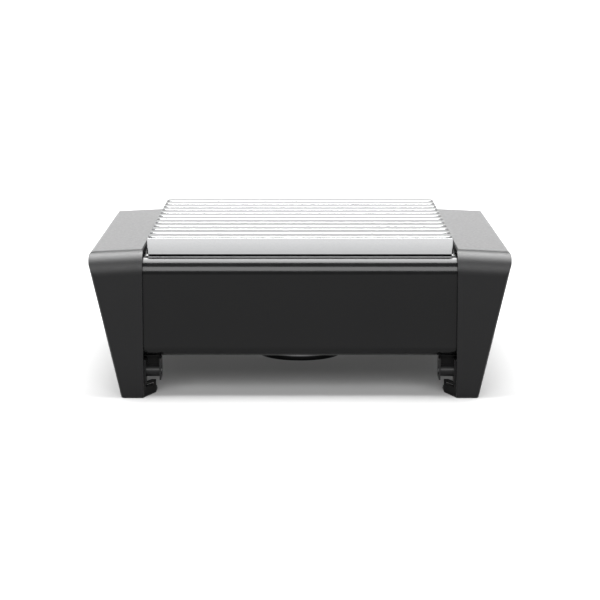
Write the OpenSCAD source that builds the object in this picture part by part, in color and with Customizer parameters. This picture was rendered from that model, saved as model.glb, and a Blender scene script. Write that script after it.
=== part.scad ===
// Tea-light hot plate burner: a sheet-steel trough between two plastic end caps that carry the
// legs, a ridged aluminium plate on top, and a lift-out cup with a tea light in the floor.
// Units are millimetres. The origin is at floor level under the centre; the front faces -Y.

/* [Overall size] */
// Width over both end caps
overall_w = 264; // [250:1:280]
// Depth over the end caps
overall_d = 220; // [212:1:230]
// Height of the ridge tops of the hot plate
overall_h = 100.5; // [100:0.1:102]

/* [End caps] */
// Distance from the centre to the inner edge of a cap
cap_inner_x = 98.3; // [98:0.1:100]
// Wall thickness of a cap
cap_wall = 3.6; // [3:0.1:4]
// Outward lean of the outer side, in degrees from upright
side_lean = 12.9; // [11:0.1:14.5]
// Radius that turns the leaning side upright under its top edge
flank_r = 30; // [20:1:50]
// Fall of the cap's top towards the outside, in degrees
top_fall = 2.7; // [1:0.1:4]
// Radius between a cap's top and its outer side
cap_corner_r = 2.2; // [1.5:0.1:3]
// Height of the centre of that radius
cap_corner_z = 89.2; // [88.8:0.1:89.5]
// Radius between a cap's top and its front and rear
cap_shoulder_r = 14; // [12:0.5:15]
// Radius of the upright edges between the outer side and the front and rear
cap_edge_r = 2.5; // [1:0.5:4]
// Bevel along the inner edge of a cap's top
cap_bevel = 0.8; // [0.4:0.1:1.2]

/* [Legs] */
// Clear height of the arch between a cap's front and rear leg
arch_h = 18; // [14:1:18]
// Distance from the centre to the arch at the floor
arch_y = 80; // [76:1:82]
// Thickness of the wall round the arch
arch_wall = 3; // [2:0.5:3.5]
// Distance of a leg's screw boss behind the front or rear of the cap
boss_inset = 10; // [9:0.5:11]
// Height of the screw bosses
boss_z = 15.7; // [14:0.1:16.5]
// Diameter of the screw bosses
boss_d = 7.2; // [6:0.2:8]

/* [Body] */
// Depth of the body
body_d = 212.6; // [206:0.2:212.6]
// Underside of the body
body_z = 25.3; // [24.8:0.1:27]
// Top of the body's rim
body_top = 88.4; // [88:0.1:88.6]
// Radius of the body's upper edges
body_shoulder_r = 10.4; // [8:0.2:12]
// Radius of the body's lower edges
body_foot_r = 8; // [6:0.5:10]
// Sheet thickness of the body and its end plates
sheet = 1.2; // [1:0.1:1.5]
// Width of the opening under the hot plate, front to rear
mouth_d = 168; // [166:1:172]
// Depth of the lip turned down round that opening
lip_h = 8; // [4:1:10]

/* [Hot plate] */
// Side of the square plate
plate_w = 192; // [188:0.5:192.5]
// Height of the plate's skirt
plate_h = 11.3; // [10.6:0.1:11.7]
// Corner radius of the plate in plan
plate_corner_r = 0.8; // [0.5:0.1:2]
// Number of ridges along the plate's top
ridges = 12; // [8:1:14]
// Width of the grooves between the ridges
groove_w = 3.6; // [3:0.1:5]
// Height of the ridges
ridge_h = 0.9; // [0.5:0.1:1.5]
// Radius of a ridge's ends in plan
ridge_r = 4.5; // [2:0.5:5]
// Distance of the ridges from the edge of the plate
ridge_margin = 0.8; // [0.5:0.1:1.5]

/* [Burner] */
// Outside diameter of the burner cup
cup_d = 58.2; // [56:0.2:62]
// Underside of the burner cup
cup_z = 6.7; // [5:0.1:9]
// Radius round the bottom of the burner cup
cup_corner_r = 1.8; // [1.5:0.1:3]
// Diameter of the tea light
tealight_d = 38; // [37:0.5:39]
// Height of the tea light's cup
tealight_h = 16; // [14:0.5:17]

/* [Hidden] */
$fn = 96;

// Faces that cut or stand clear do so by this much.
over = 1;
// Clearance between pieces that are pushed together.
fit = 0.1;

// Where the slanted side of a cap meets the floor, and how high its top is at a given x.
corner_x = overall_w / 2 - cap_corner_r;
flank_x = overall_w / 2 - flank_r;
foot_outer_x = flank_x + (flank_r - sin(side_lean) * cap_corner_z) / cos(side_lean);
function cap_top_z(x) = cap_corner_z + (cap_corner_r - (x - corner_x) * sin(top_fall)) / cos(top_fall);

// Legs: bracket tab, boss and the foot below it.
tab_x = 87.5;
tab_t = 1;
tab_z = 10.6;
tab_y0 = 91;
tab_y1 = 105;
tab_flange_x = 97.6;
tab_flange_z = 12.6;
boss_y = overall_d / 2 - boss_inset;
boss_root_x = 97.1;
boss_root_z = 8.4;
screw_r = 1.3;
screw_len = 15;
screw_head_r = 2.4;
screw_head_t = 0.5;
foot_h = 8.2;
sole_h = 0.6;
foot_inner_x = 91.7;
foot_bevel_x = 98.9;
foot_bevel_y = 92.5;
foot_rear_y = 83.2;
pocket_z = 2.5;
fin_rear_x = 94.4;
fin_rear_y = 91.1;
fin_root_y = 98.7;
slot_z0 = 5.5;
slot_z1 = 7;
slot_x0 = 93;
slot_x1 = 97.5;

// Body: how far it reaches into the caps, its end plates and the holes in its floor.
body_end_x = 106;
end_plate_x = 99;
mouth_x = 86;
flange_x = 105.6;
strap_y = 97;
strap_top = body_z - fit / 2;
floor_top = body_z + sheet;
rib_x = 106.4;
rivet_x = 103;
rivet_ys = [-70, 0, 70];
rivet_r = 1.5;
rivet_head_r = 2.6;
rivet_head_t = 1;
air_holes = 12;
air_hole_r = 2.5;
air_ring_r = 46;

// Hot plate: skirt, corner blocks over the pads, and the pegs that keep it in the opening.
skirt_t = 3;
deck_t = 4;
plate_z = overall_h - plate_h;
block_w = 10;
peg_at = 80;
peg_r = 3;
peg_drop = 5;
pad_at = 88.4;
pad_r = 3.6;

// Burner cup and tea light.
cup_r = cup_d / 2;
cup_t = 1;
flange_r = cup_r + 5;
hole_r = cup_r + 0.8;
bead_r = 0.9;
locator_r = tealight_d / 2 + 1.5;
tl_r = tealight_d / 2;
tl_t = 0.4;
tl_z = cup_z + cup_t;
wax_h = 12;
wick_r = 0.7;
wick_top = tl_z + 18;
sustainer_r = 6;
sustainer_t = 0.3;
collar_r = 1.3;
collar_h = 4;

// A flat shape in Y and Z, carried along X from x0 to x1.
module along_x(x0, x1) {
    translate([x0, 0, 0]) rotate([90, 0, 90]) linear_extrude(x1 - x0) children();
}

// A flat shape in X and Z, carried along Y from -d/2 to d/2.
module along_y(d) {
    translate([0, d / 2, 0]) rotate([90, 0, 0]) linear_extrude(d) children();
}

// What a round corner of radius r leaves of its square, in quadrant q.
module spandrel(r, q) {
    rotate(90 * q) difference() {
        square(r + over);
        circle(r);
    }
}

// A rectangle w wide standing on y = 0, with round upper and lower corners.
module round_section(w, h, r_top, r_bottom) {
    difference() {
        translate([-w / 2, 0]) square([w, h]);
        translate([w / 2 - r_top, h - r_top]) spandrel(r_top, 0);
        translate([r_top - w / 2, h - r_top]) spandrel(r_top, 1);
        if (r_bottom > 0) {
            translate([r_bottom - w / 2, r_bottom]) spandrel(r_bottom, 2);
            translate([w / 2 - r_bottom, r_bottom]) spandrel(r_bottom, 3);
        }
    }
}

// The front view of the right cap, moved in from its outside by inset.
module cap_front_view(inset, inner_x, z0) {
    r = cap_corner_r - inset;
    side_r = flank_r - inset;
    side_x = overall_w / 2 - inset;
    low_x = foot_outer_x - inset / cos(side_lean) + z0 * tan(side_lean);
    turn = side_r * [cos(side_lean), -sin(side_lean)];
    corner = [side_x - r, cap_corner_z];
    flank = [flank_x, cap_corner_z];
    bevel = inset > 0 ? 0 : cap_bevel;
    top_z = cap_top_z(inner_x) - inset / cos(top_fall);
    // the corner is a point where the inset is more than its radius
    over_corner = r > 0
        ? [corner, corner + r * [sin(top_fall), cos(top_fall)],
            [inner_x + bevel, top_z - bevel * tan(top_fall)], [inner_x, top_z - bevel]]
        : [[side_x, overall_h], [inner_x, overall_h]];
    union() {
        polygon(concat([[inner_x, z0], [low_x, z0], flank + turn, flank, [side_x, cap_corner_z]], over_corner));
        translate(flank) intersection() {
            circle(side_r);
            polygon([[0, 0], 2 * turn, [2 * side_r, 0]]);
        }
        if (r > 0) translate(corner) circle(r);
    }
}

// The solid form of the right cap, moved in from its outside by inset.
module cap_form(inset, inner_x, z0) {
    d = overall_d - 2 * inset;
    reach = 60;
    deep = 130;
    intersection() {
        along_y(d) cap_front_view(inset, inner_x, z0);
        translate([cap_inner_x, 0, cap_top_z(cap_inner_x) - inset / cos(top_fall)])
            rotate([0, top_fall, 0]) translate([0, 0, -deep])
                along_x(-reach, reach) round_section(d, deep, cap_shoulder_r - inset, 0);
        if (inset < cap_edge_r)
            translate([foot_outer_x - inset / cos(side_lean), 0, 0]) rotate([0, side_lean, 0])
                translate([0, 0, -reach]) linear_extrude(deep + reach)
                    plan_edge(d, reach + over, cap_edge_r - inset);
    }
}

// A plan with its two outer corners, at x = 0, rounded.
module plan_edge(d, w, r) {
    difference() {
        translate([-w, -d / 2]) square([w, d]);
        translate([-r, d / 2 - r]) spandrel(r, 0);
        translate([-r, r - d / 2]) spandrel(r, 3);
    }
}

// The opening between a cap's legs, grown by grow on all sides.
module arch(grow) {
    r = 9 + grow;
    top = arch_h + grow;
    lean = 10;
    low_y = arch_y + grow / cos(lean) + over * tan(lean);
    top_y = arch_y + grow / cos(lean) - top * tan(lean);
    // the corner circle touches both the leaning side and the level top
    centre = [top_y - r * tan((90 - lean) / 2), top - r];
    union() {
        polygon([
            [-low_y, -over], [low_y, -over], centre + r * [cos(lean), sin(lean)],
            [centre[0], top], [-centre[0], top], [-centre[0] - r * cos(lean), centre[1] + r * sin(lean)]
        ]);
        translate(centre) circle(r);
        translate([-centre[0], centre[1]]) circle(r);
    }
}

module for_each_leg() {
    for (end = [0, 1]) mirror([0, end, 0]) children();
}

// Screw boss with its root block, inside the front leg of the right cap.
module leg_boss() {
    intersection() {
        union() {
            translate([tab_x + tab_t, -boss_y, boss_z]) rotate([0, 90, 0]) cylinder(d = boss_d, h = 40);
            translate([boss_root_x, -boss_y - 4, boss_root_z])
                cube([30, 8, strap_top - 2 * tab_t - boss_root_z]);
        }
        cap_form(cap_wall / 2, tab_x, 0);
    }
}

module right_cap() {
    difference() {
        union() {
            difference() {
                cap_form(0, cap_inner_x, sole_h);
                difference() {
                    cap_form(cap_wall, tab_x, -over);
                    along_x(tab_x - over, overall_w) arch(arch_wall);
                    // ribs that the end plate bears on
                    for (y = [-60, 0, 60])
                        translate([rib_x, y - 1, 0]) cube([40, 2, overall_h]);
                }
            }
            for_each_leg() leg_boss();
        }
        along_x(tab_x - over, overall_w) arch(0);
        for_each_leg() translate([tab_x, -boss_y, boss_z]) rotate([0, 90, 0])
            cylinder(r = screw_r + 0.05, h = screw_len + over);
    }
}

// Rubber foot of the right front leg: a sole under the leg's walls and a plug inside them.
module right_front_foot() {
    difference() {
        union() {
            intersection() {
                foot_plan(overall_d / 2, arch_y + fit, sole_h);
                cap_form(0.3, foot_inner_x, 0);
            }
            intersection() {
                foot_plan(overall_d / 2 - cap_wall - fit, foot_rear_y, foot_h);
                cap_form(cap_wall + fit, foot_inner_x, 0);
            }
        }
        translate([slot_x0, -overall_d / 2, slot_z0]) cube([slot_x1 - slot_x0, 60, slot_z1 - slot_z0]);
        // open behind the front fin
        translate([0, 0, pocket_z]) linear_extrude(foot_h) polygon([
            [foot_inner_x - over, -fin_rear_y], [fin_rear_x, -fin_rear_y], [cap_inner_x, -fin_root_y],
            [cap_inner_x, -arch_y], [foot_inner_x - over, -arch_y]
        ]);
    }
}

// The foot's plan, bevelled at its inner front corner.
module foot_plan(front_y, rear_y, h) {
    linear_extrude(h) polygon([
        [foot_bevel_x, -front_y], [overall_w / 2, -front_y], [overall_w / 2, -rear_y],
        [foot_inner_x, -rear_y], [foot_inner_x, -foot_bevel_y]
    ]);
}

// Folded steel strap under the right end of the body, with a tab down to each boss.
module right_bracket() {
    difference() {
        union() {
            translate([tab_x, -strap_y, strap_top - tab_t]) cube([body_end_x - tab_x, 2 * strap_y, tab_t]);
            for_each_leg() translate([tab_x, -tab_y1, tab_z]) {
                cube([tab_t, tab_y1 - tab_y0, strap_top - tab_t - tab_z]);
                translate([0, tab_y1 - strap_y, 0]) cube([tab_t, strap_y - tab_y0, strap_top - tab_z]);
                // flange that stiffens the tab behind the boss
                translate([0, tab_y1 - tab_y0 - tab_t, tab_flange_z - tab_z])
                    cube([tab_flange_x - tab_x, tab_t, strap_top - tab_t / 2 - tab_flange_z]);
            }
        }
        for_each_leg() translate([tab_x - over, -boss_y, boss_z]) rotate([0, 90, 0])
            cylinder(r = screw_r + 0.3, h = 3);
        rivet_holes();
    }
}

module rivet_holes() {
    for (y = rivet_ys) translate([rivet_x, y, body_z - 5]) cylinder(r = rivet_r + 0.05, h = 10);
}

// End wall of the trough, with a rim flange inwards and a riveted flange outwards.
module right_end_wall() {
    inner_d = body_d - 2 * sheet;
    wall_h = body_top - floor_top;
    gap = 0.3;
    difference() {
        union() {
            translate([0, 0, floor_top]) along_x(end_plate_x, end_plate_x + sheet)
                end_outline(inner_d - 2 * gap, wall_h - sheet - gap, gap);
            translate([mouth_x, -mouth_d / 2 + gap, body_top - sheet])
                cube([end_plate_x + sheet - mouth_x, mouth_d - 2 * gap, sheet]);
            translate([end_plate_x, -mouth_d / 2 + gap, body_top - 3 * sheet])
                cube([sheet, mouth_d - 2 * gap, 2 * sheet]);
            translate([end_plate_x, -strap_y, floor_top])
                cube([flange_x - end_plate_x, 2 * strap_y, sheet]);
        }
        rivet_holes();
        for (y = [-40, -20, 20, 40]) translate([end_plate_x - over, y, body_top - 22])
            rotate([0, 90, 0]) cylinder(r = 3, h = sheet + 2 * over);
    }
}

module end_outline(d, h, gap) {
    round_section(d, h, body_shoulder_r - sheet - gap, body_foot_r - sheet - gap);
}

module rivets_right() {
    for (y = rivet_ys) translate([rivet_x, y, 0]) {
        translate([0, 0, strap_top - tab_t - rivet_head_t]) cylinder(r = rivet_head_r, h = rivet_head_t);
        translate([0, 0, strap_top - tab_t])
            cylinder(r = rivet_r, h = floor_top + sheet - strap_top + tab_t);
        translate([0, 0, floor_top + sheet]) cylinder(r = rivet_head_r, h = rivet_head_t);
    }
}

// Screws through the bracket's tabs into the bosses of the right cap.
module screws_right() {
    for_each_leg() translate([tab_x, -boss_y, boss_z]) rotate([0, 90, 0]) difference() {
        union() {
            translate([0, 0, -screw_head_t]) cylinder(r = screw_head_r, h = screw_head_t);
            cylinder(r = screw_r, h = screw_len);
        }
        for (turn = [0, 90]) rotate(turn) translate([-1.5, -0.3, -screw_head_t - over])
            cube([3, 0.6, over + 0.3]);
    }
}

module body_shell() {
    h = body_top - body_z;
    color("#202022") difference() {
        union() {
            along_x(-body_end_x, body_end_x) translate([0, body_z]) difference() {
                round_section(body_d, h, body_shoulder_r, body_foot_r);
                translate([0, sheet]) round_section(body_d - 2 * sheet, h - 2 * sheet,
                    body_shoulder_r - sheet, body_foot_r - sheet);
                translate([-mouth_d / 2, h / 2]) square([mouth_d, h]);
            }
            // lips turned down between the end plates
            for (side = [-1, 1])
                translate([over - end_plate_x, side * (mouth_d + sheet) / 2 - sheet / 2, body_top - lip_h])
                    cube([2 * (end_plate_x - over), sheet, lip_h]);
        }
        translate([0, 0, body_z - over]) cylinder(r = hole_r, h = 4);
        for (i = [0:air_holes - 1]) rotate(360 * (i + 0.5) / air_holes)
            translate([air_ring_r, 0, body_z - over]) cylinder(r = air_hole_r, h = 4);
        for (side = [0, 1]) mirror([side, 0, 0]) rivet_holes();
    }
}

module left_end_plate() { color("#2a2a2c") mirror([1, 0, 0]) right_end_wall(); }
module right_end_plate() { color("#2a2a2c") right_end_wall(); }
module left_leg_bracket() { color("#1e1e1f") mirror([1, 0, 0]) right_bracket(); }
module right_leg_bracket() { color("#1e1e1f") right_bracket(); }
module left_end_cap() { color("#2b2b2d") mirror([1, 0, 0]) right_cap(); }
module right_end_cap() { color("#2b2b2d") right_cap(); }
module foot_front_left() { color("#161617") mirror([1, 0, 0]) right_front_foot(); }
module foot_front_right() { color("#161617") right_front_foot(); }
module foot_rear_left() { color("#161617") rotate([0, 0, 180]) right_front_foot(); }
module foot_rear_right() { color("#161617") mirror([0, 1, 0]) right_front_foot(); }
module left_cap_screws() { color("#55565a") mirror([1, 0, 0]) screws_right(); }
module right_cap_screws() { color("#55565a") screws_right(); }
module left_rivets() { color("#8a8b8e") mirror([1, 0, 0]) rivets_right(); }
module right_rivets() { color("#8a8b8e") rivets_right(); }

// A silicone pad that the plate rests on.
module plate_pad(side, end) {
    color("#1a1a1b") translate([side * pad_at, end * pad_at, body_top])
        cylinder(r = pad_r, h = plate_z - body_top);
}

// Ridged plate with a skirt; it lifts off.
module hot_plate() {
    pitch = (plate_w - 2 * ridge_margin + groove_w) / ridges;
    inner_w = plate_w - 2 * skirt_t;
    block_at = (inner_w - block_w) / 2;
    seat_h = plate_h - deck_t + over;
    color("#d9dadc") union() {
        difference() {
            translate([0, 0, plate_z]) linear_extrude(plate_h - ridge_h)
                round_plan(plate_w, plate_w, plate_corner_r);
            translate([-inner_w / 2, -inner_w / 2, plate_z - over]) cube([inner_w, inner_w, seat_h]);
        }
        for (i = [0:ridges - 1])
            translate([0, (i - (ridges - 1) / 2) * pitch, overall_h - ridge_h - over])
                linear_extrude(ridge_h + over)
                    round_plan(plate_w - 2 * ridge_margin, pitch - groove_w, ridge_r);
        for (side = [-1, 1], end = [-1, 1]) {
            translate([side * block_at, end * block_at, plate_z + seat_h / 2])
                cube([block_w + over, block_w + over, seat_h], center = true);
            translate([side * peg_at, end * peg_at, plate_z - peg_drop])
                cylinder(r = peg_r, h = seat_h + peg_drop);
        }
    }
}

// A rectangle in plan with round corners.
module round_plan(w, d, r) {
    difference() {
        translate([-w / 2, -d / 2]) square([w, d]);
        translate([w / 2 - r, d / 2 - r]) spandrel(r, 0);
        translate([r - w / 2, d / 2 - r]) spandrel(r, 1);
        translate([r - w / 2, r - d / 2]) spandrel(r, 2);
        translate([w / 2 - r, r - d / 2]) spandrel(r, 3);
    }
}

// Round steel cup that hangs by its flange in the floor's hole; it lifts out.
module burner_cup() {
    h = floor_top - cup_z;
    color("#8b8c8f") union() {
        rotate_extrude() difference() {
            union() {
                translate([0, cup_z]) cup_section(cup_r, h + cup_t, cup_corner_r);
                translate([0, floor_top]) square([flange_r, cup_t]);
                translate([flange_r, floor_top + cup_t / 2]) circle(cup_t / 2);
                translate([locator_r, cup_z + cup_t]) circle(bead_r);
            }
            difference() {
                translate([0, cup_z + cup_t])
                    cup_section(cup_r - cup_t, h + 2 * cup_t, cup_corner_r - cup_t);
                translate([locator_r, cup_z + cup_t]) circle(bead_r);
            }
        }
    }
}

// Half section of a cup with a round lower corner.
module cup_section(r, h, corner) {
    difference() {
        square([r, h]);
        translate([r - corner, corner]) spandrel(corner, 3);
    }
}

module tealight_cup() {
    color("#c8c9cc") rotate_extrude() union() {
        translate([0, tl_z]) difference() {
            square([tl_r, tealight_h]);
            translate([0, tl_t]) square([tl_r - tl_t, tealight_h]);
        }
        translate([tl_r - tl_t / 2, tl_z + tealight_h]) circle(tl_t);
    }
}

module tealight_wax() {
    z = tl_z + tl_t;
    color("#f4f0e6") difference() {
        translate([0, 0, z]) cylinder(r = tl_r - tl_t, h = wax_h);
        translate([0, 0, z - over]) cylinder(r = sustainer_r + 0.05, h = over + sustainer_t);
        translate([0, 0, z - over]) cylinder(r = collar_r + 0.05, h = over + collar_h);
        translate([0, 0, z - over]) cylinder(r = wick_r, h = wax_h + 2 * over);
    }
}

module wick_sustainer() {
    color("#b9babd") translate([0, 0, tl_z + tl_t]) difference() {
        union() {
            cylinder(r = sustainer_r, h = sustainer_t);
            cylinder(r = collar_r, h = collar_h);
        }
        translate([0, 0, sustainer_t]) cylinder(r = wick_r, h = collar_h);
    }
}

module tealight_wick() {
    foot = tl_z + tl_t + sustainer_t;
    color("#efe9da") translate([0, 0, foot]) cylinder(r = wick_r, h = wick_top - foot);
}

body_shell();
left_end_plate();
right_end_plate();
left_leg_bracket();
right_leg_bracket();
left_end_cap();
right_end_cap();
foot_front_left();
foot_front_right();
foot_rear_left();
foot_rear_right();
left_cap_screws();
right_cap_screws();
left_rivets();
right_rivets();
plate_pad(-1, -1);  // plate_pad_front_left
plate_pad(1, -1);  // plate_pad_front_right
plate_pad(-1, 1);  // plate_pad_rear_left
plate_pad(1, 1);  // plate_pad_rear_right
hot_plate();
burner_cup();
tealight_cup();
tealight_wax();
wick_sustainer();
tealight_wick();
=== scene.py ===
"""Tea-light hot plate burner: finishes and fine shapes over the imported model."""
import math

import bmesh
import bpy
from bpy.props import FloatProperty, FloatVectorProperty, IntProperty, PointerProperty
from bpy.types import Operator, Panel, PropertyGroup
from mathutils import Matrix, Vector


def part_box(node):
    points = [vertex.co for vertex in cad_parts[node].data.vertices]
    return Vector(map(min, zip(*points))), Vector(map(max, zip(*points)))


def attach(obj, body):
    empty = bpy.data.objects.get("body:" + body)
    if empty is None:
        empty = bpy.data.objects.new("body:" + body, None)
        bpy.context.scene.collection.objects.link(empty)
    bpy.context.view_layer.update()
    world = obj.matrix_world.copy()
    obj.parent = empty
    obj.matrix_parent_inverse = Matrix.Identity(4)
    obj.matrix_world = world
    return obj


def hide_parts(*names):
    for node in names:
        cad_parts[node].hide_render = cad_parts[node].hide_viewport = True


bl_info = {
    "name": "Hot Plate Burner",
    "version": (1, 0, 0),
    "blender": (4, 5, 0),
    "location": "View3D > Sidebar > Burner",
    "description": "Builds the fine shapes and finishes of a tea-light hot plate burner",
    "category": "Object",
}

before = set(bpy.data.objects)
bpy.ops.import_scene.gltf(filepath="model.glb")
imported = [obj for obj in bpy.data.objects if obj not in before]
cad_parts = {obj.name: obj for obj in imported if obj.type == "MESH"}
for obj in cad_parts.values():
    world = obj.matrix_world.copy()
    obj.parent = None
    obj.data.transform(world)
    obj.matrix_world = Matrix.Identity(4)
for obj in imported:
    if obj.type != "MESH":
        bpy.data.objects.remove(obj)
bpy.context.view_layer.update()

MM = 0.001
ENDS = ("left", "right")
CORNERS = ("front_left", "front_right", "rear_left", "rear_right")


# ---------------------------------------------------------------- settings

class BurnerPlateSettings(PropertyGroup):
    """Sizes and colours of the hot plate."""
    ridges: IntProperty(name="Ridges", description="Ridges along the top", default=12, min=4)
    skirt_height: FloatProperty(
        name="Skirt height", description="Height of the plate's skirt", default=11.3 * MM, unit="LENGTH")
    skirt_wall: FloatProperty(
        name="Skirt wall", description="Thickness of the skirt", default=3 * MM, unit="LENGTH")
    deck: FloatProperty(
        name="Deck", description="Thickness of the plate under its ridges", default=4 * MM, unit="LENGTH")
    corner_radius: FloatProperty(
        name="Corner radius", description="Radius of the plate's corners in plan", default=0.8 * MM,
        unit="LENGTH")
    ridge_radius: FloatProperty(
        name="Ridge radius", description="Radius of a ridge's ends in plan", default=4.5 * MM, unit="LENGTH")
    ridge_margin: FloatProperty(
        name="Ridge margin", description="Distance of the ridges from the plate's edge", default=0.8 * MM,
        unit="LENGTH")
    block_from: FloatProperty(
        name="Block from", description="Where the corner blocks begin, from the centre", default=82.5 * MM,
        unit="LENGTH")
    peg_at: FloatProperty(
        name="Peg at", description="Where the locating pegs stand, from the centre", default=80 * MM,
        unit="LENGTH")
    peg_radius: FloatProperty(
        name="Peg radius", description="Radius of the pegs", default=3 * MM, unit="LENGTH")
    edge_radius: FloatProperty(
        name="Edge radius", description="Radius round the upper edges", default=0.25 * MM, unit="LENGTH")
    groove_width: FloatProperty(
        name="Groove width", description="Width of the grooves", default=3.6 * MM, unit="LENGTH")
    groove_depth: FloatProperty(
        name="Groove depth", description="Depth of the grooves", default=0.9 * MM, unit="LENGTH")
    metal: FloatVectorProperty(
        name="Metal", description="Colour of the bare aluminium", default=(0.5, 0.504, 0.508),
        subtype="COLOR")
    # Painted shade: this colour is painted into the grooves for the shade that falls in them.
    painted_groove_shade: FloatVectorProperty(
        name="Residue", description="Colour of the metal in the grooves", default=(0.2, 0.202, 0.204),
        subtype="COLOR")


class BurnerBodySettings(PropertyGroup):
    """Colours of the steel body and the parts fixed to it."""
    paint: FloatVectorProperty(
        name="Paint", description="Colour of the satin paint", default=(0.0018, 0.0018, 0.0019),
        subtype="COLOR")
    inner_paint: FloatVectorProperty(
        name="Inner paint", description="Colour of the heat-proof paint inside",
        default=(0.003, 0.003, 0.0031), subtype="COLOR")
    plastic: FloatVectorProperty(
        name="Plastic", description="Colour of the end caps", default=(0.004, 0.004, 0.0042),
        subtype="COLOR")
    rubber: FloatVectorProperty(
        name="Rubber", description="Colour of the feet and pads", default=(0.003, 0.003, 0.003),
        subtype="COLOR")
    oxide: FloatVectorProperty(
        name="Oxide", description="Colour of the screws and rivets", default=(0.05, 0.05, 0.052),
        subtype="COLOR")


class BurnerFlameSettings(PropertyGroup):
    """The burner cup's and the tea light's colours, and the tea light's fine sizes."""
    steel: FloatVectorProperty(
        name="Steel", description="Colour of the burner cup", default=(0.7, 0.7, 0.71), subtype="COLOR")
    foil: FloatVectorProperty(
        name="Foil", description="Colour of the tea light's cup", default=(0.82, 0.83, 0.84),
        subtype="COLOR")
    wax: FloatVectorProperty(
        name="Wax", description="Colour of the wax", default=(0.88, 0.85, 0.78), subtype="COLOR")
    tinplate: FloatVectorProperty(
        name="Tinplate", description="Colour of the wick's sustainer", default=(0.6, 0.6, 0.61),
        subtype="COLOR")
    cotton: FloatVectorProperty(
        name="Cotton", description="Colour of the wick", default=(0.84, 0.8, 0.7), subtype="COLOR")
    foil_gauge: FloatProperty(
        name="Foil gauge", description="Thickness of the foil cup", default=0.4 * MM, unit="LENGTH")
    pleat_depth: FloatProperty(
        name="Pleat depth", description="Depth of the foil's pleats", default=0.22 * MM, unit="LENGTH")
    meniscus: FloatProperty(
        name="Meniscus", description="How far the wax dips between wall and wick", default=0.6 * MM,
        unit="LENGTH")
    wick_hole: FloatProperty(
        name="Wick hole", description="Radius of the hole round the wick", default=0.7 * MM, unit="LENGTH")
    collar_hole: FloatProperty(
        name="Collar hole", description="Radius of the hole round the sustainer's collar",
        default=1.35 * MM, unit="LENGTH")
    wick_turns: FloatProperty(name="Wick turns", description="Turns of the wick's twist", default=5, min=0)


class BurnerStageSettings(PropertyGroup):
    """The floor, the lights and the camera."""
    floor: FloatVectorProperty(
        name="Floor", description="Colour of the floor", default=(0.215, 0.215, 0.215), subtype="COLOR")
    top_light: FloatProperty(
        name="Top light", description="Radiance of the softbox overhead", default=23.0, min=0)
    front_light: FloatProperty(
        name="Front light", description="Radiance of the strip in front", default=14.0, min=0)
    rear_light: FloatProperty(
        name="Rear light", description="Radiance of the panel behind", default=3.2, min=0)
    room: FloatProperty(name="Room", description="Radiance of the room", default=0.5, min=0)
    lens: FloatProperty(name="Lens", description="Focal length in millimetres", default=117, min=1)
    pitch: FloatProperty(
        name="Pitch", description="How far the camera looks down", default=math.radians(10.13),
        subtype="ANGLE")
    distance: FloatProperty(
        name="Distance", description="Camera distance in front of the centre", default=1.3056, unit="LENGTH")
    height: FloatProperty(
        name="Height", description="Camera height over the floor", default=0.2763, unit="LENGTH")


# ---------------------------------------------------------------- materials

def new_node(tree, kind, **values):
    node = tree.nodes.new(kind)
    for name, value in values.items():
        setattr(node, name, value)
    return node


def start_material(name, colour, roughness, sockets=None):
    """A material with one Principled shader; what is uniform is set on the shader's own sockets."""
    material = bpy.data.materials.new(name)
    material.use_nodes = True
    tree = material.node_tree
    shader = tree.nodes["Principled BSDF"]
    shader.inputs["Base Color"].default_value = (*colour, 1)
    shader.inputs["Roughness"].default_value = roughness
    for socket, value in (sockets or {}).items():
        shader.inputs[socket].default_value = value
    return material, tree, shader


def grain(tree, per_metre, detail=2.0, stretch=(1, 1, 1), roughness=0.5):
    """Noise over the piece with this many features per metre, closer together where stretch is larger."""
    place = new_node(tree, "ShaderNodeTexCoord")
    scale = new_node(tree, "ShaderNodeMapping")
    scale.inputs["Scale"].default_value = stretch
    noise = new_node(tree, "ShaderNodeTexNoise")
    noise.inputs["Scale"].default_value = per_metre
    noise.inputs["Detail"].default_value = detail
    noise.inputs["Roughness"].default_value = roughness
    tree.links.new(place.outputs["Object"], scale.inputs["Vector"])
    tree.links.new(scale.outputs["Vector"], noise.inputs["Vector"])
    return noise.outputs["Fac"]


def remap(tree, value, low, high, to_low, to_high):
    node = new_node(tree, "ShaderNodeMapRange", clamp=True)
    for socket, number in (("From Min", low), ("From Max", high), ("To Min", to_low), ("To Max", to_high)):
        node.inputs[socket].default_value = number
    tree.links.new(value, node.inputs["Value"])
    return node.outputs["Result"]


def blend_colours(tree, factor, first, second):
    node = new_node(tree, "ShaderNodeMix", data_type="RGBA")
    for socket, colour in ((node.inputs[6], first), (node.inputs[7], second)):
        if isinstance(colour, bpy.types.NodeSocket):
            tree.links.new(colour, socket)
        else:
            socket.default_value = (*colour, 1)
    tree.links.new(factor, node.inputs["Factor"])
    return node.outputs[2]


def calculate(tree, operation, first, second):
    node = new_node(tree, "ShaderNodeMath", operation=operation)
    for socket, value in zip(node.inputs, (first, second)):
        if isinstance(value, bpy.types.NodeSocket):
            tree.links.new(value, socket)
        else:
            socket.default_value = value
    return node.outputs["Value"]


def relief(tree, shader, height, depth, below=None):
    """Bump of this depth in metres, on top of another bump where one is given."""
    bump = new_node(tree, "ShaderNodeBump")
    bump.inputs["Distance"].default_value = depth
    tree.links.new(height, bump.inputs["Height"])
    if below is not None:
        tree.links.new(below, bump.inputs["Normal"])
    tree.links.new(bump.outputs["Normal"], shader.inputs["Normal"])
    return bump.outputs["Normal"]


def height_over(tree, axis):
    """The piece's own X, Y or Z in metres."""
    place = new_node(tree, "ShaderNodeTexCoord")
    split = new_node(tree, "ShaderNodeSeparateXYZ")
    tree.links.new(place.outputs["Object"], split.inputs["Vector"])
    return split.outputs[axis]


def shade(colour, factor):
    return tuple(min(1.0, channel * factor) for channel in colour)


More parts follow.
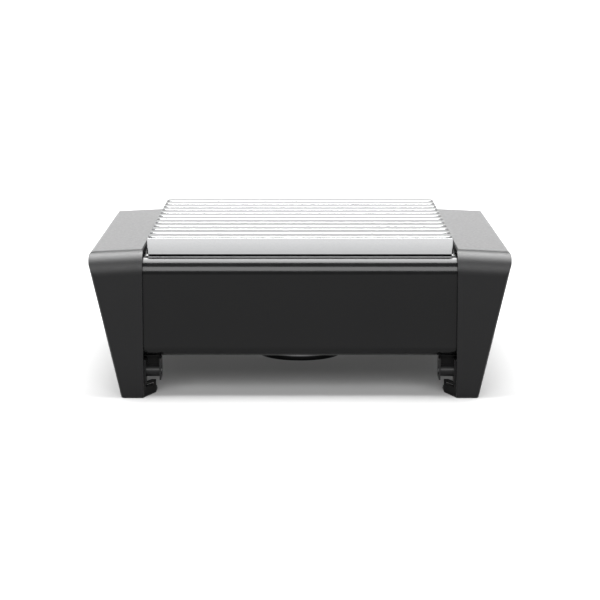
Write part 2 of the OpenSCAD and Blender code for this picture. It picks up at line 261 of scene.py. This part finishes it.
def satin_paint(name, colour, roughness):
    """Powder coat: an even satin skin with a fine orange peel and faint cloudiness."""
    sockets = {"Specular Tint": (0.3, 0.3, 0.3, 1)}
    material, tree, shader = start_material(name, colour, roughness, sockets)
    cloud = grain(tree, 28, detail=3)
    tree.links.new(blend_colours(tree, cloud, shade(colour, 0.85), shade(colour, 1.15)),
                   shader.inputs["Base Color"])
    tree.links.new(remap(tree, grain(tree, 140, detail=4), 0.3, 0.7, roughness * 0.9, roughness * 1.1),
                   shader.inputs["Roughness"])
    relief(tree, shader, grain(tree, 900, detail=1), 4e-6)
    return material


def moulded_plastic(name, colour, roughness):
    """Black plastic with a fine spark-eroded texture."""
    sockets = {"Specular Tint": (0.24, 0.24, 0.24, 1)}
    material, tree, shader = start_material(name, colour, roughness, sockets)
    cloud = grain(tree, 35, detail=3)
    tree.links.new(blend_colours(tree, cloud, shade(colour, 0.88), shade(colour, 1.12)),
                   shader.inputs["Base Color"])
    tree.links.new(remap(tree, grain(tree, 500, detail=4), 0.3, 0.7, roughness * 0.93, roughness * 1.07),
                   shader.inputs["Roughness"])
    texture = relief(tree, shader, grain(tree, 2600, detail=3, roughness=0.6), 1.4e-5)
    relief(tree, shader, grain(tree, 7000, detail=1), 5e-6, below=texture)
    return material


def soft_rubber(name, colour):
    """Matt rubber with a dusty, slightly uneven skin."""
    material, tree, shader = start_material(name, colour, 0.75, {"Specular IOR Level": 0.15})
    dust = remap(tree, grain(tree, 220, detail=5), 0.45, 0.8, 0, 0.5)
    tree.links.new(blend_colours(tree, dust, colour, shade(colour, 3)), shader.inputs["Base Color"])
    relief(tree, shader, grain(tree, 1800, detail=3), 1.5e-5)
    return material


def ridged_aluminium(name, settings, top):
    """Satin aluminium, brushed along the ridges, with painted shade in the grooves and painted shade
    darkening the skirt towards its bottom.
    """
    sockets = {"Metallic": 1.0, "Specular Tint": (0.22, 0.22, 0.22, 1)}
    material, tree, shader = start_material(name, settings.metal, 0.22, sockets)
    brushed = grain(tree, 60, detail=4, stretch=(1, 60, 60), roughness=0.65)
    cloud = grain(tree, 45, detail=3)
    groove = settings.groove_depth
    wall_foot = 0.7 * groove
    depth = calculate(tree, "SUBTRACT", top, height_over(tree, "Z"))
    # Painted shade: the groove floors and the rounding at their edges blend to the painted groove shade
    # colour.
    groove_shade_mask = remap(tree, depth, wall_foot, 0.9 * groove, 0, 1)
    above_skirt = remap(tree, depth, 1.15 * groove, 1.4 * groove, 1, 0)
    groove_shade_mask = calculate(tree, "MULTIPLY", groove_shade_mask, above_skirt)
    metal = blend_colours(tree, brushed, shade(settings.metal, 0.94), shade(settings.metal, 1.05))
    # Painted shade: the groove walls darken part way towards the painted groove shade colour.
    metal = blend_colours(tree, remap(tree, depth, 0, wall_foot, 0, 0.4), metal, settings.painted_groove_shade)
    # Painted shade: the skirt's colour darkens from 0.9 to 0.66 of the metal towards its bottom.
    down = remap(tree, depth, groove, settings.skirt_height, 0, 1)
    skirt = blend_colours(tree, down, shade(settings.metal, 0.9), shade(settings.metal, 0.66))
    metal = blend_colours(tree, above_skirt, skirt, metal)
    tree.links.new(blend_colours(tree, groove_shade_mask, metal, settings.painted_groove_shade), shader.inputs["Base Color"])
    satin = remap(tree, brushed, 0.3, 0.7, 0.17, 0.22)
    duller = remap(tree, cloud, 0.3, 0.7, 0, 0.03)
    tree.links.new(calculate(tree, "ADD", satin, duller), shader.inputs["Roughness"])
    relief(tree, shader, brushed, 1e-6)
    return material


def polished_steel(name, colour, foot):
    """Polished pressed steel with faint drawing marks up its wall, with painted shade darkening it round its
    foot.
    """
    material, tree, shader = start_material(name, colour, 0.07, {"Metallic": 1.0})
    marks = grain(tree, 300, detail=3, stretch=(3, 3, 0.3))
    steel = blend_colours(tree, marks, shade(colour, 0.95), shade(colour, 1.05))
    # Painted shade: up to 3 mm above its bottom the cup is painted near black, standing in for the dark
    # reflection of the shaded floor.
    painted_foot_shade_top = foot + 3 * MM
    above_foot_shade = remap(tree, height_over(tree, "Z"), painted_foot_shade_top, painted_foot_shade_top + MM, 0, 1)
    tree.links.new(blend_colours(tree, above_foot_shade, shade(colour, 0.04), steel), shader.inputs["Base Color"])
    tree.links.new(remap(tree, marks, 0.3, 0.7, 0.05, 0.09), shader.inputs["Roughness"])
    relief(tree, shader, marks, 2e-6)
    return material


def plated_steel(name, colour, roughness, edge=1.0):
    """Tinned or blackened steel, lightly scratched; edge darkens it at grazing angles."""
    sockets = {"Metallic": 1.0, "Specular Tint": (edge, edge, edge, 1)}
    material, tree, shader = start_material(name, colour, roughness, sockets)
    scratch = grain(tree, 900, detail=4, stretch=(1, 1, 4))
    tree.links.new(blend_colours(tree, scratch, shade(colour, 0.8), shade(colour, 1.15)),
                   shader.inputs["Base Color"])
    tree.links.new(remap(tree, scratch, 0.3, 0.7, roughness * 0.8, roughness * 1.25),
                   shader.inputs["Roughness"])
    relief(tree, shader, scratch, 6e-6)
    return material


def pressed_foil(name, colour):
    """Bright thin aluminium with drawing marks."""
    material, tree, shader = start_material(name, colour, 0.22, {"Metallic": 1.0})
    marks = grain(tree, 500, detail=3, stretch=(3, 3, 0.3))
    tree.links.new(remap(tree, marks, 0.3, 0.7, 0.16, 0.32), shader.inputs["Roughness"])
    relief(tree, shader, marks, 2e-5)
    return material


def candle_wax(name, colour):
    """Paraffin wax: translucent, with a soft mottled skin."""
    sockets = {
        "Subsurface Weight": 0.5, "Subsurface Radius": (0.006, 0.005, 0.004), "Subsurface Scale": 0.5,
        "Specular IOR Level": 0.45,
    }
    material, tree, shader = start_material(name, colour, 0.38, sockets)
    mottle = grain(tree, 260, detail=4)
    tree.links.new(blend_colours(tree, mottle, shade(colour, 0.94), shade(colour, 1.06)),
                   shader.inputs["Base Color"])
    tree.links.new(remap(tree, mottle, 0.3, 0.7, 0.3, 0.48), shader.inputs["Roughness"])
    relief(tree, shader, grain(tree, 700, detail=3), 3e-5)
    return material


def waxed_cotton(name, colour):
    material, tree, shader = start_material(name, colour, 0.65, {"Sheen Weight": 0.2})
    fibre = grain(tree, 3000, detail=3, stretch=(1, 1, 0.4))
    tree.links.new(blend_colours(tree, fibre, shade(colour, 0.75), colour), shader.inputs["Base Color"])
    relief(tree, shader, fibre, 8e-5)
    return material


def studio_floor(name, colour, clear_from, clear_to):
    """White paper floor with a faint painted glow near the object that lifts its shadows, rising to pure
    white away from the object.
    """
    material, tree, shader = start_material(name, colour, 1.0, {"Specular IOR Level": 0.0})
    place = new_node(tree, "ShaderNodeTexCoord")
    length = new_node(tree, "ShaderNodeVectorMath", operation="LENGTH")
    tree.links.new(place.outputs["Object"], length.inputs[0])
    # Painted light: the floor glows at 0.06 near the object, lifting the shade under it, and up to full
    # white further out.
    glow = remap(tree, length.outputs["Value"], clear_from, clear_to, 0.06, 1)
    shader.inputs["Emission Color"].default_value = (1, 1, 1, 1)
    tree.links.new(glow, shader.inputs["Emission Strength"])
    return material


# ---------------------------------------------------------------- meshes

def finish_nodes(material, *names):
    """Gives CAD nodes a finish; their shape stays."""
    for name in names:
        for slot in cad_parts[name].material_slots:
            slot.material = material


def add_piece(name, bm, material, body, slot, *replaced):
    """Turns a bmesh into a piece that rides on a body and stands for CAD nodes."""
    bmesh.ops.recalc_face_normals(bm, faces=bm.faces)
    mesh = bpy.data.meshes.new(name)
    bm.to_mesh(mesh)
    bm.free()
    mesh.materials.append(material)
    mesh.set_sharp_from_angle(angle=math.radians(38))
    for polygon in mesh.polygons:
        polygon.use_smooth = True
    piece = bpy.data.objects.new(name, mesh)
    bpy.context.scene.collection.objects.link(piece)
    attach(piece, body)
    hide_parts(*replaced)
    return piece


def bridge(bm, first, second):
    """Quads between two closed loops with as many vertices each."""
    count = len(first)
    for i in range(count):
        j = (i + 1) % count
        bm.faces.new((first[i], first[j], second[j], second[i]))


def lathe(bm, profile, segments, centre=(0, 0), flute=0, flutes=0):
    """Turns radius and height pairs about an upright axis; flutes dent the wall by up to flute."""
    rings = []
    for radius, z in profile:
        if radius == 0:
            rings.append([bm.verts.new((*centre, z))])
            continue
        ring = []
        for k in range(segments):
            angle = 2 * math.pi * k / segments
            reach = radius - flute * (0.5 - 0.5 * math.cos(flutes * angle))
            x = centre[0] + reach * math.cos(angle)
            y = centre[1] + reach * math.sin(angle)
            ring.append(bm.verts.new((x, y, z)))
        rings.append(ring)
    for first, second in zip(rings, rings[1:]):
        for k in range(segments):
            j = (k + 1) % segments
            if len(first) == 1:
                bm.faces.new((first[0], second[k], second[j]))
            elif len(second) == 1:
                bm.faces.new((first[k], first[j], second[0]))
            else:
                bm.faces.new((first[k], first[j], second[j], second[k]))
    return rings


def steps(count):
    """0 to 1 in count equal steps, both ends included."""
    return [i / count for i in range(count + 1)]


# ---------------------------------------------------------------- hot plate

def round_plan(width, depth, radius, centre_y=0):
    """Points round a rectangle with round corners."""
    points = []
    for side, end, turn in ((1, -1, -0.5), (1, 1, 0), (-1, 1, 0.5), (-1, -1, 1)):
        for t in steps(8):
            angle = math.pi * (turn + t / 2)
            points.append((side * (width / 2 - radius) + radius * math.cos(angle),
                           centre_y + end * (depth / 2 - radius) + radius * math.sin(angle)))
    return points


def stack(bm, width, depth, radius, profile, centre_y=0):
    """A closed solid of rounded rectangles, one for every inset and height in the profile."""
    loops = []
    for inset, z in profile:
        plan = round_plan(width - 2 * inset, depth - 2 * inset, max(radius - inset, 0.1 * MM), centre_y)
        loops.append([bm.verts.new((x, y, z)) for x, y in plan])
    for first, second in zip(loops, loops[1:]):
        bridge(bm, first, second)
    bm.faces.new(loops[0])
    bm.faces.new(loops[-1])


def soft_edge(radius, level):
    """The profile of a rounded upper edge, with narrow flat strips that keep the faces beside it even."""
    strip = 0.1 * MM
    profile = [(radius + strip, level)]
    for t in steps(6):
        angle = t * math.pi / 2
        profile.append((radius * (1 - math.sin(angle)), level - radius * (1 - math.cos(angle))))
    return profile + [(0, level - radius - strip)]


def build_plate(settings, half, top):
    """A hollow plate with raised ridges, seats for its pads and pegs."""
    bm = bmesh.new()
    margin = settings.ridge_margin
    pitch = (2 * half - 2 * margin + settings.groove_width) / settings.ridges
    level = top - settings.groove_depth
    bottom = top - settings.skirt_height
    ceiling = top - settings.deck
    wall = settings.skirt_wall
    foot = 0.2 * MM
    profile = soft_edge(settings.edge_radius, level) + [(0, bottom + 2 * foot)]
    for t in steps(3):
        angle = t * math.pi / 2
        profile.append((foot * (1 - math.cos(angle)), bottom + foot * (1 - math.sin(angle))))
    profile += [(wall - foot, bottom), (wall, bottom + foot), (wall, ceiling)]
    stack(bm, 2 * half, 2 * half, settings.corner_radius, profile)
    sink = 0.2 * MM
    for i in range(settings.ridges):
        stack(bm, 2 * (half - margin), pitch - settings.groove_width, settings.ridge_radius,
              soft_edge(settings.edge_radius, top) + [(0, level - sink)],
              (i - (settings.ridges - 1) / 2) * pitch)
    add_seats(bm, settings, half - wall, bottom, ceiling)
    return bm


def add_seats(bm, settings, wall, bottom, ceiling):
    """Under each corner, a block that lies on its pad and a peg that stands in the opening."""
    peg_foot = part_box("hot_plate")[0].z
    lead_in = 0.8 * MM
    sink = 0.2 * MM
    for side in (-1, 1):
        for end in (-1, 1):
            size = wall - settings.block_from
            middle = (wall + settings.block_from) / 2
            block = Matrix.LocRotScale(
                (side * (middle + sink), end * (middle + sink), (bottom + ceiling + sink) / 2), None,
                (size, size, ceiling + sink - bottom))
            bmesh.ops.create_cube(bm, size=1, matrix=block)
            profile = ((0, peg_foot), (settings.peg_radius - lead_in, peg_foot),
                       (settings.peg_radius, peg_foot + lead_in), (settings.peg_radius, ceiling + sink))
            lathe(bm, profile, 32, (side * settings.peg_at, end * settings.peg_at))


class BURNER_OT_hot_plate(Operator):
    """Builds the ridged aluminium plate with its skirt, corner blocks and pegs"""
    bl_idname = "burner.hot_plate"
    bl_label = "Hot Plate"

    def execute(self, context):
        settings = context.scene.burner_plate
        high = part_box("hot_plate")[1]
        material = ridged_aluminium("plate_aluminium", settings, high.z)
        bm = build_plate(settings, high.x, high.z)
        add_piece("ridged_plate", bm, material, "hot_plate", "plate_aluminium", "hot_plate")
        return {"FINISHED"}


# ---------------------------------------------------------------- body and caps

class BURNER_OT_body(Operator):
    """Paints the sheet-steel body"""
    bl_idname = "burner.body"
    bl_label = "Body"

    def execute(self, context):
        settings = context.scene.burner_body
        finish_nodes(satin_paint("body_paint", settings.paint, 0.17), "body_shell")
        return {"FINISHED"}


class BURNER_OT_inner_steel(Operator):
    """Paints the end plates and the leg brackets"""
    bl_idname = "burner.inner_steel"
    bl_label = "End Plates and Brackets"

    def execute(self, context):
        settings = context.scene.burner_body
        material = satin_paint("inner_paint", settings.inner_paint, 0.5)
        for end in ENDS:
            finish_nodes(material, f"{end}_end_plate", f"{end}_leg_bracket")
        return {"FINISHED"}


class BURNER_OT_end_caps(Operator):
    """Gives the end caps their moulded texture"""
    bl_idname = "burner.end_caps"
    bl_label = "End Caps"

    def execute(self, context):
        settings = context.scene.burner_body
        material = moulded_plastic("cap_plastic", settings.plastic, 0.42)
        finish_nodes(material, *[f"{end}_end_cap" for end in ENDS])
        return {"FINISHED"}


class BURNER_OT_rubber(Operator):
    """Gives the feet and the plate's pads their rubber"""
    bl_idname = "burner.rubber"
    bl_label = "Feet and Pads"

    def execute(self, context):
        settings = context.scene.burner_body
        finish_nodes(soft_rubber("foot_rubber", settings.rubber), *[f"foot_{c}" for c in CORNERS])
        finish_nodes(soft_rubber("pad_silicone", settings.rubber), *[f"plate_pad_{c}" for c in CORNERS])
        return {"FINISHED"}


class BURNER_OT_fasteners(Operator):
    """Gives the screws and rivets their black oxide"""
    bl_idname = "burner.fasteners"
    bl_label = "Screws and Rivets"

    def execute(self, context):
        settings = context.scene.burner_body
        material = plated_steel("screw_steel", settings.oxide, 0.4, edge=0.3)
        for end in ENDS:
            finish_nodes(material, f"{end}_cap_screws", f"{end}_rivets")
        return {"FINISHED"}


# ---------------------------------------------------------------- burner

def build_foil_cup(settings):
    """Thin pleated cup with a rolled rim."""
    low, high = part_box("tealight_cup")
    bm = bmesh.new()
    bead = settings.foil_gauge
    rim_radius = high.x - bead
    wall = rim_radius - bead / 2
    rim_z = high.z - bead
    outer = rim_radius + bead / 2
    foot = 0.9 * MM
    profile = [(0, low.z + 0.25 * MM), (0.72 * outer, low.z + 0.25 * MM), (0.76 * outer, low.z)]
    for t in steps(5):
        angle = t * math.pi / 2
        profile.append((outer - foot * (1 - math.sin(angle)), low.z + foot * (1 - math.cos(angle))))
    lathe(bm, profile + [(outer, rim_z - 2 * MM)], 240, flute=settings.pleat_depth, flutes=40)
    collar = [(outer, rim_z - 2 * MM), (outer, rim_z - 0.6 * MM)]
    for t in steps(10):
        angle = math.pi * (1.25 * t - 0.35)
        collar.append((rim_radius + bead * math.cos(angle), rim_z + bead * math.sin(angle)))
    collar += [(wall, rim_z - 0.6 * MM), (wall, low.z + foot)]
    collar += [(wall - foot, low.z + bead), (0, low.z + bead)]
    lathe(bm, collar, 240)
    return bm


def build_wax(settings):
    """Wax that creeps up the cup's wall and the wick."""
    low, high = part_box("tealight_wax")
    bm = bmesh.new()
    radius = high.x - 0.03 * MM
    dip = settings.meniscus
    profile = [(settings.collar_hole, low.z), (radius, low.z), (radius, high.z - 0.1 * MM)]
    for t in steps(24):
        r = radius * (1 - t) + settings.wick_hole * t
        creep = math.exp(-(radius - r) / (1.2 * MM)) + 0.8 * math.exp(-(r - settings.wick_hole) / (0.9 * MM))
        profile.append((r, high.z - dip * (1 - min(1, creep))))
    profile += [(settings.wick_hole, low.z + 4.1 * MM), (settings.collar_hole, low.z + 4.1 * MM)]
    rings = lathe(bm, profile, 96)
    bridge(bm, rings[-1], rings[0])
    return bm


def build_wick(settings):
    """A twisted cotton wick."""
    low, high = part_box("tealight_wick")
    bm = bmesh.new()
    radius = high.x
    segments = 24
    levels = 60
    rings = []
    for t in steps(levels):
        z = low.z + (high.z - low.z) * t
        turn = 2 * math.pi * t * settings.wick_turns
        taper = 1 if t < 0.97 else 0.8
        rings.append([bm.verts.new((
            taper * radius * (0.86 + 0.14 * math.cos(3 * angle - turn)) * math.cos(angle),
            taper * radius * (0.86 + 0.14 * math.cos(3 * angle - turn)) * math.sin(angle), z))
            for angle in (2 * math.pi * k / segments for k in range(segments))])
    for first, second in zip(rings, rings[1:]):
        bridge(bm, first, second)
    bm.faces.new(rings[0])
    bm.faces.new(rings[-1])
    return bm


class BURNER_OT_burner_cup(Operator):
    """Polishes the burner cup"""
    bl_idname = "burner.burner_cup"
    bl_label = "Burner Cup"

    def execute(self, context):
        steel = polished_steel("cup_steel", context.scene.burner_flame.steel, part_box("burner_cup")[0].z)
        finish_nodes(steel, "burner_cup")
        return {"FINISHED"}


class BURNER_OT_tealight(Operator):
    """Builds the tea light"""
    bl_idname = "burner.tealight"
    bl_label = "Tea Light"

    def execute(self, context):
        settings = context.scene.burner_flame
        foil = pressed_foil("foil_aluminium", settings.foil)
        add_piece("foil_cup", build_foil_cup(settings), foil, "tealight", "foil_aluminium", "tealight_cup")
        wax = candle_wax("wax", settings.wax)
        add_piece("wax_fill", build_wax(settings), wax, "tealight", "wax", "tealight_wax")
        finish_nodes(plated_steel("sustainer_steel", settings.tinplate, 0.3), "wick_sustainer")
        cotton = waxed_cotton("wick_cotton", settings.cotton)
        add_piece("twisted_wick", build_wick(settings), cotton, "tealight", "wick_cotton", "tealight_wick")
        return {"FINISHED"}


# ---------------------------------------------------------------- stage

def area_light(name, place, target, width, height, radiance):
    """A softbox of even radiance that faces target and doesn't show itself to the camera."""
    light = bpy.data.lights.new(name, "AREA")
    light.shape = "RECTANGLE"
    light.size = width
    light.size_y = height
    light.energy = radiance * math.pi * width * height
    holder = bpy.data.objects.new(name, light)
    holder.location = place
    holder.rotation_euler = (Vector(target) - Vector(place)).to_track_quat("-Z", "Y").to_euler()
    holder.visible_camera = False
    bpy.context.scene.collection.objects.link(holder)


def white_room(radiance):
    world = bpy.context.scene.world or bpy.data.worlds.new("room")
    bpy.context.scene.world = world
    world.use_nodes = True
    tree = world.node_tree
    tree.nodes.clear()
    seen = new_node(tree, "ShaderNodeLightPath")
    strength = remap(tree, seen.outputs["Is Camera Ray"], 0, 1, radiance, 1)
    light = new_node(tree, "ShaderNodeBackground")
    light.inputs["Color"].default_value = (1, 1, 1, 1)
    tree.links.new(strength, light.inputs["Strength"])
    output = new_node(tree, "ShaderNodeOutputWorld")
    tree.links.new(light.outputs["Background"], output.inputs["Surface"])


class BURNER_OT_stage(Operator):
    """Lays the floor, hangs the lights and places the camera"""
    bl_idname = "burner.stage"
    bl_label = "Stage"

    def execute(self, context):
        settings = context.scene.burner_stage
        scene = context.scene
        scene.view_settings.view_transform = "Standard"
        mesh = bpy.data.meshes.new("floor")
        bm = bmesh.new()
        bmesh.ops.create_grid(bm, x_segments=1, y_segments=1, size=20)
        bm.to_mesh(mesh)
        bm.free()
        mesh.materials.append(studio_floor("floor_paper", settings.floor, 0.35, 1.25))
        floor = bpy.data.objects.new("floor", mesh)
        scene.collection.objects.link(floor)
        centre = (0, 0, 0.06)
        area_light("top_softbox", (0, 0.2, 1.25), (0, 0.2, 0), 1.8, 1.1, settings.top_light)
        area_light("front_strip", (0, -2.6, 1.62), centre, 3.0, 1.45, settings.front_light)
        area_light("rear_panel", (0, 3.2, 0.58), centre, 4.5, 1.1, settings.rear_light)
        white_room(settings.room)
        camera = bpy.data.objects.new("camera", bpy.data.cameras.new("camera"))
        camera.data.lens = settings.lens
        camera.data.sensor_width = 36
        camera.location = (0, -settings.distance, settings.height)
        camera.rotation_euler = (math.pi / 2 - settings.pitch, 0, 0)
        scene.collection.objects.link(camera)
        scene.camera = camera
        return {"FINISHED"}


# ---------------------------------------------------------------- add-on

class BURNER_PT_panel(Panel):
    """Lists the settings and the steps that build the burner"""
    bl_idname = "BURNER_PT_panel"
    bl_label = "Hot Plate Burner"
    bl_space_type = "VIEW_3D"
    bl_region_type = "UI"
    bl_category = "Burner"

    def draw(self, context):
        for group in (name for name, _ in SETTINGS):
            box = self.layout.box()
            settings = getattr(context.scene, group)
            for field in settings.__annotations__:
                box.prop(settings, field)
        for operator in OPERATORS:
            self.layout.operator(operator.bl_idname)


SETTINGS = (
    ("burner_plate", BurnerPlateSettings),
    ("burner_body", BurnerBodySettings),
    ("burner_flame", BurnerFlameSettings),
    ("burner_stage", BurnerStageSettings),
)
OPERATORS = (
    BURNER_OT_stage,
    BURNER_OT_body,
    BURNER_OT_inner_steel,
    BURNER_OT_end_caps,
    BURNER_OT_rubber,
    BURNER_OT_fasteners,
    BURNER_OT_hot_plate,
    BURNER_OT_burner_cup,
    BURNER_OT_tealight,
)


def register():
    for name, group in SETTINGS:
        bpy.utils.register_class(group)
        setattr(bpy.types.Scene, name, PointerProperty(type=group))
    for operator in OPERATORS:
        bpy.utils.register_class(operator)
    bpy.utils.register_class(BURNER_PT_panel)


def unregister():
    bpy.utils.unregister_class(BURNER_PT_panel)
    for operator in reversed(OPERATORS):
        bpy.utils.unregister_class(operator)
    for name, group in reversed(SETTINGS):
        delattr(bpy.types.Scene, name)
        bpy.utils.unregister_class(group)


def main():
    register()
    for operator in OPERATORS:
        area, step = operator.bl_idname.split(".")
        getattr(getattr(bpy.ops, area), step)()


if __name__ == "__main__":
    main()
